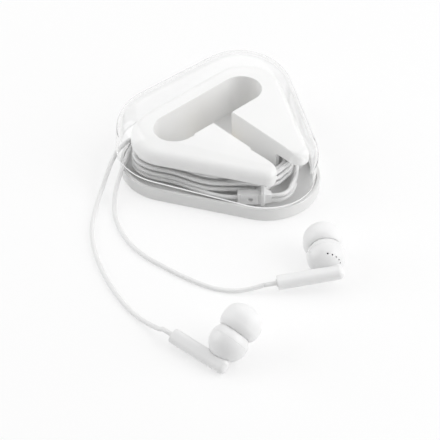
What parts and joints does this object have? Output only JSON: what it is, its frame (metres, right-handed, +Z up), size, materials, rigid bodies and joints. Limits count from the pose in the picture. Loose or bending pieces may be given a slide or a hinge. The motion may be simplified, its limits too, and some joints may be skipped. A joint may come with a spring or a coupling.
{
  "type": "wired earphones",
  "caption": "In-ear wired earphones with their cable wound on a three-cornered winder in a tray under a clear cover, and both earbuds lying beside it.",
  "frame": {"origin": "middle of the case tray's flat underside, on the table", "axes": "+Z up from the table, -Y towards the case corner where the winder's slot opens, +X to the right of it; the earbuds lie towards -X and -Y"},
  "size_m": [0.1145, 0.1079, 0.0279],
  "materials": {
    "tray_plastic": "satin silver-grey moulded plastic",
    "winder_plastic": "fine matte white moulded plastic",
    "clear_plastic": "polished clear polystyrene",
    "splitter_plastic": "matte white moulded plastic",
    "shell_plastic": "satin white moulded plastic",
    "cable_jacket": "smooth white elastomer jacket",
    "silicone": "soft translucent white silicone",
    "grommet_rubber": "matte pale rubber",
    "mesh_metal": "fine perforated steel",
    "driver_metal": "dark painted metal",
    "magnet": "nickel-plated magnet",
    "diaphragm_film": "thin pale film",
    "contact_metal": "gold-plated brass",
    "insulator": "black plastic rings"
  },
  "bodies": {
    "root": {"base_tray": "tray_plastic", "cable_winder": "winder_plastic", "main_lead_winding": "cable_jacket", "left_lead_winding": "cable_jacket", "right_lead_winding": "cable_jacket", "left_lead": "cable_jacket", "right_lead": "cable_jacket", "y_splitter": "splitter_plastic", "splitter_wedge": "cable_jacket", "plug_relief": "cable_jacket", "plug_barrel": "shell_plastic", "plug_sleeve": "contact_metal", "plug_insulators": "insulator", "plug_contacts": "contact_metal", "left_front_shell": "shell_plastic", "left_rear_shell": "shell_plastic", "left_stem": "shell_plastic", "left_grommet": "grommet_rubber", "left_nozzle_mesh": "mesh_metal", "left_driver_frame": "driver_metal", "left_driver_magnet": "magnet", "left_diaphragm": "diaphragm_film", "right_front_shell": "shell_plastic", "right_rear_shell": "shell_plastic", "right_stem": "shell_plastic", "right_grommet": "grommet_rubber", "right_nozzle_mesh": "mesh_metal", "right_driver_frame": "driver_metal", "right_driver_magnet": "magnet", "right_diaphragm": "diaphragm_film"},
    "cover": {"clear_cover": "clear_plastic"},
    "left_tip": {"left_ear_tip": "silicone"},
    "right_tip": {"right_ear_tip": "silicone"}
  },
  "joints": [
    {"name": "cover_lift", "type": "slide", "parent": "root", "child": "cover", "axis": [0, 0, 1], "range_m": [0, 0.05]},
    {"name": "left_tip_pull", "type": "slide", "parent": "root", "child": "left_tip", "axis": [0.8617, 0.0951, 0.4985], "range_m": [0, 0.006]},
    {"name": "right_tip_pull", "type": "slide", "parent": "root", "child": "right_tip", "axis": [0.596, 0.7996, 0.0732], "range_m": [0, 0.006]}
  ]
}
